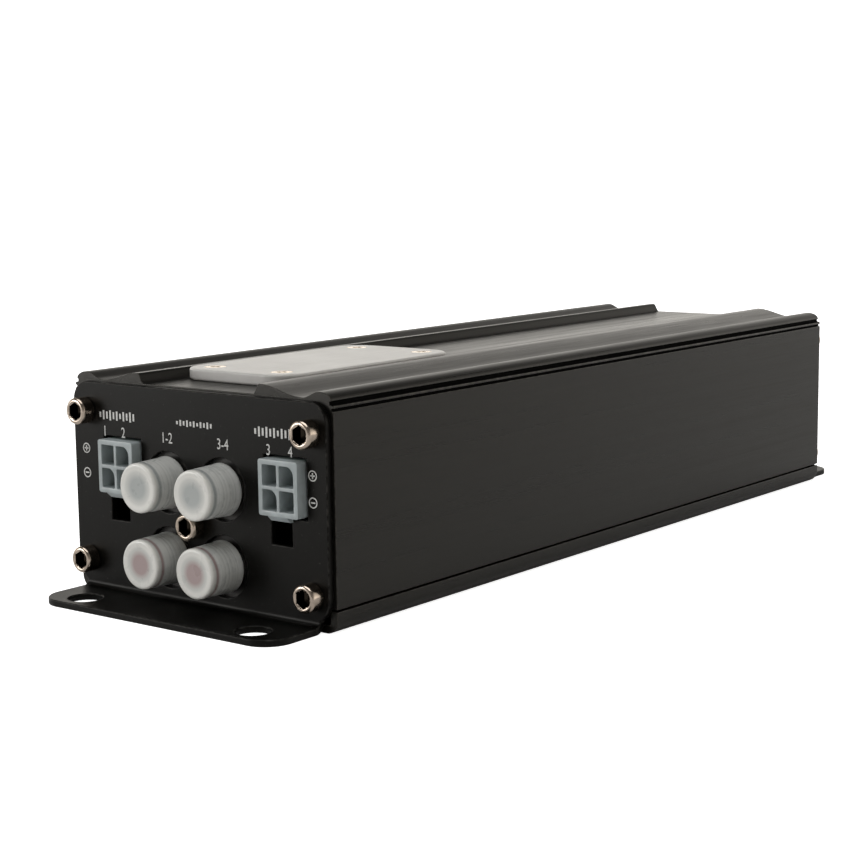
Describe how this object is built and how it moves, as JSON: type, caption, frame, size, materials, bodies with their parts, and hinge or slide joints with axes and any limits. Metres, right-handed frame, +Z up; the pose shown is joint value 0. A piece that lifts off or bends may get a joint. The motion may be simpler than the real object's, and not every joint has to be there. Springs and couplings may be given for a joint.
{
  "type": "car amplifier",
  "caption": "Compact ribbed aluminium car amplifier with bent flanged end plates, capped phono inputs, wire headers and a clear cover over its trimmers.",
  "frame": {"origin": "on the mounting surface, under the middle of the case", "axes": "+X across, +Y from the input panel to the output panel along the case, +Z up from the mounting surface"},
  "size_m": [0.0654, 0.216, 0.0435],
  "materials": {
    "case_anodised": "satin black anodised, fine lengthwise grain",
    "plate_black": "satin black powder coat",
    "screw_nickel": "bright nickel plate",
    "screw_black": "black oxide",
    "board": "green solder resist",
    "moulded_black": "moulded black",
    "jack_plate": "nickel plate",
    "insulator_white": "white moulded",
    "insulator_red": "red moulded",
    "cap_milky": "milky soft polythene",
    "nylon": "natural nylon",
    "pins_tin": "tin-plated brass",
    "cover_clear": "frosted clear acrylic",
    "trimmer_blue": "blue moulded",
    "rotor_cream": "cream moulded",
    "pad_grey": "silicone pad",
    "clamp_steel": "plain",
    "ferrite_grey": "ferrite",
    "core_yellow": "painted iron powder",
    "enamel_wire": "enamelled copper",
    "capacitor_sleeve": "shrunk sleeve",
    "film_red": "epoxy",
    "resistor_black": "glazed",
    "fuse_blue": "clear blue",
    "fuse_zinc": "plain zinc",
    "led_red": "red tinted"
  },
  "bodies": {
    "case": {"case_shell": "case_anodised", "bottom_tray": "case_anodised", "tray_screws": "screw_black", "front_plate": "plate_black", "rear_plate": "plate_black", "front_plate_screws": "screw_nickel", "rear_plate_screws": "screw_nickel", "main_board": "board", "rca_housing": "moulded_black", "rca_barrels": "jack_plate", "rca_insulators_white": "insulator_white", "rca_insulators_red": "insulator_red", "rca_contacts": "jack_plate", "input_header_left": "nylon", "input_header_right": "nylon", "input_header_pins": "pins_tin", "trimmer_bodies": "trimmer_blue", "switch_bodies": "moulded_black", "amplifier_chips": "moulded_black", "amplifier_pads": "pad_grey", "amplifier_clamps": "clamp_steel", "supply_transistors": "moulded_black", "supply_pads": "pad_grey", "supply_clamp": "clamp_steel", "clamp_screws": "clamp_steel", "transformer_core": "ferrite_grey", "transformer_winding": "enamel_wire", "choke_core": "core_yellow", "choke_winding": "enamel_wire", "bulk_capacitors": "capacitor_sleeve", "signal_capacitors": "capacitor_sleeve", "film_capacitors": "film_red", "output_inductors": "ferrite_grey", "signal_chips": "moulded_black", "resistors": "resistor_black", "speaker_header": "nylon", "speaker_header_pins": "pins_tin", "power_header": "nylon", "power_header_pins": "pins_tin", "fuse_holder": "moulded_black", "fuse_clips": "pins_tin", "status_led": "led_red"},
    "dust_cap_upper_left": {"rca_cap_upper_left": "cap_milky"},
    "dust_cap_upper_right": {"rca_cap_upper_right": "cap_milky"},
    "dust_cap_lower_left": {"rca_cap_lower_left": "cap_milky"},
    "dust_cap_lower_right": {"rca_cap_lower_right": "cap_milky"},
    "cover": {"window_cover": "cover_clear", "cover_screws": "screw_nickel"},
    "trimmer_1": {"trimmer_rotor_1": "rotor_cream"},
    "trimmer_2": {"trimmer_rotor_2": "rotor_cream"},
    "trimmer_3": {"trimmer_rotor_3": "rotor_cream"},
    "trimmer_4": {"trimmer_rotor_4": "rotor_cream"},
    "switch_1": {"switch_slider_1": "insulator_white"},
    "switch_2": {"switch_slider_2": "insulator_white"},
    "switch_3": {"switch_slider_3": "insulator_white"},
    "fuse": {"fuse_body": "fuse_blue", "fuse_blades": "fuse_zinc"}
  },
  "joints": [
    {"name": "dust_cap_upper_left_pull", "type": "slide", "parent": "case", "child": "dust_cap_upper_left", "axis": [0, -1, 0], "range_m": [0, 0.009]},
    {"name": "dust_cap_upper_right_pull", "type": "slide", "parent": "case", "child": "dust_cap_upper_right", "axis": [0, -1, 0], "range_m": [0, 0.009]},
    {"name": "dust_cap_lower_left_pull", "type": "slide", "parent": "case", "child": "dust_cap_lower_left", "axis": [0, -1, 0], "range_m": [0, 0.009]},
    {"name": "dust_cap_lower_right_pull", "type": "slide", "parent": "case", "child": "dust_cap_lower_right", "axis": [0, -1, 0], "range_m": [0, 0.009]},
    {"name": "cover_lift", "type": "slide", "parent": "case", "child": "cover", "axis": [0, 0, 1], "range_m": [0, 0.02]},
    {"name": "trimmer_1_turn", "type": "hinge", "parent": "case", "child": "trimmer_1", "pos_m": [0.0052, -0.0713, 0.036], "axis": [0, 0, 1], "range_deg": [-135, 135]},
    {"name": "trimmer_2_turn", "type": "hinge", "parent": "case", "child": "trimmer_2", "pos_m": [0.0052, -0.0631, 0.036], "axis": [0, 0, 1], "range_deg": [-135, 135]},
    {"name": "trimmer_3_turn", "type": "hinge", "parent": "case", "child": "trimmer_3", "pos_m": [0.0052, -0.0549, 0.036], "axis": [0, 0, 1], "range_deg": [-135, 135]},
    {"name": "trimmer_4_turn", "type": "hinge", "parent": "case", "child": "trimmer_4", "pos_m": [0.0052, -0.0467, 0.036], "axis": [0, 0, 1], "range_deg": [-135, 135]},
    {"name": "switch_1_slide", "type": "slide", "parent": "case", "child": "switch_1", "axis": [0, 1, 0], "range_m": [0, 0.002]},
    {"name": "switch_2_slide", "type": "slide", "parent": "case", "child": "switch_2", "axis": [0, 1, 0], "range_m": [0, 0.002]},
    {"name": "switch_3_slide", "type": "slide", "parent": "case", "child": "switch_3", "axis": [0, 1, 0], "range_m": [0, 0.002]},
    {"name": "fuse_pull", "type": "slide", "parent": "case", "child": "fuse", "axis": [0, 1, 0], "range_m": [0, 0.016]}
  ]
}
